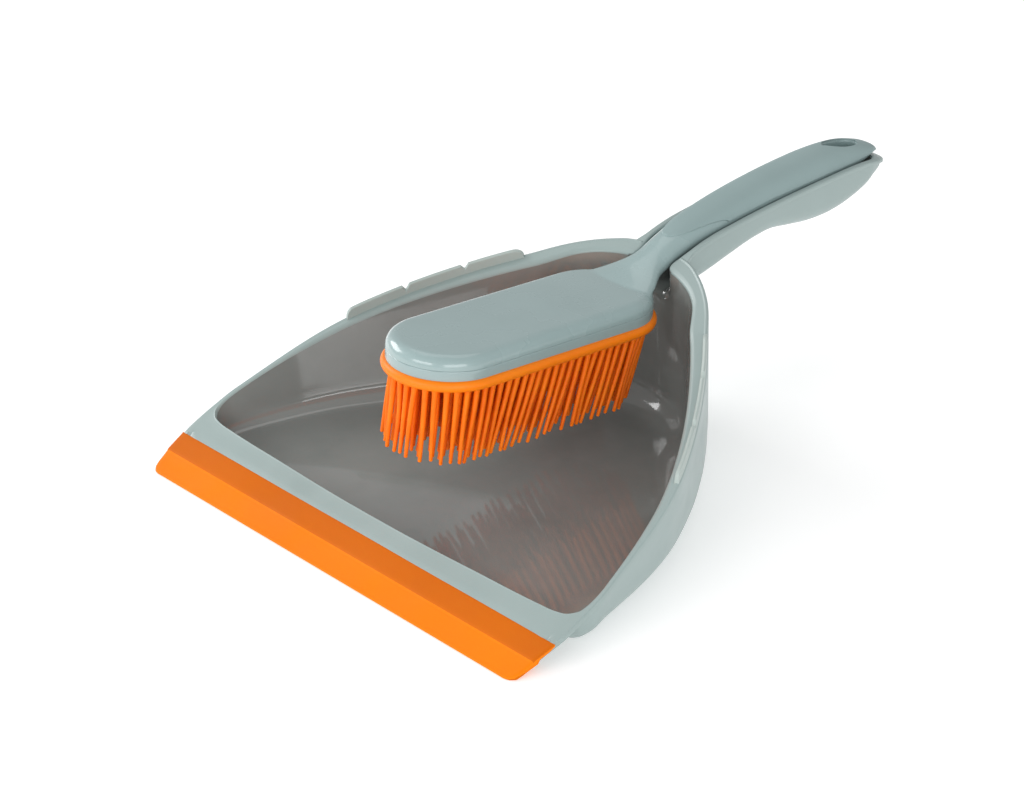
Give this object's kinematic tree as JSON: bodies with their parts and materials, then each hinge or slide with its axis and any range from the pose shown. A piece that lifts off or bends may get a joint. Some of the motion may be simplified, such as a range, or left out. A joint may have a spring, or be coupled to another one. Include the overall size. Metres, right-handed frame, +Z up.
{
  "type": "dust pan and brush set",
  "caption": "Dust pan with a soft front lip and an open handle trough, and a hand brush with soft filaments that nests in the trough and lifts out.",
  "frame": {"origin": "on the floor, in the middle of the set's length and width", "axes": "+X across the pan, +Y from the soft lip towards the handle's end, +Z up"},
  "size_m": [0.235, 0.33, 0.0936],
  "materials": {
    "pan_plastic": "satin moulded polypropylene, glossier inside the tray",
    "lip_rubber": "soft satin thermoplastic rubber",
    "brush_plastic": "satin moulded polypropylene with a soft gloss on the head's edges",
    "base_plastic": "satin moulded polypropylene",
    "plate_rubber": "soft satin thermoplastic rubber",
    "bristle_rubber": "soft satin thermoplastic rubber filaments",
    "grip_rubber": "matte soft-touch grip inlay"
  },
  "bodies": {
    "dustpan": {"pan_shell": "pan_plastic", "rubber_lip": "lip_rubber"},
    "brush": {"brush_top": "brush_plastic", "brush_base": "base_plastic", "bristle_plate": "plate_rubber", "bristles": "bristle_rubber", "grip_pad": "grip_rubber"}
  },
  "joints": [
    {"name": "brush_lift", "type": "slide", "parent": "dustpan", "child": "brush", "axis": [0, 0, 1], "range_m": [0, 0.15]}
  ]
}
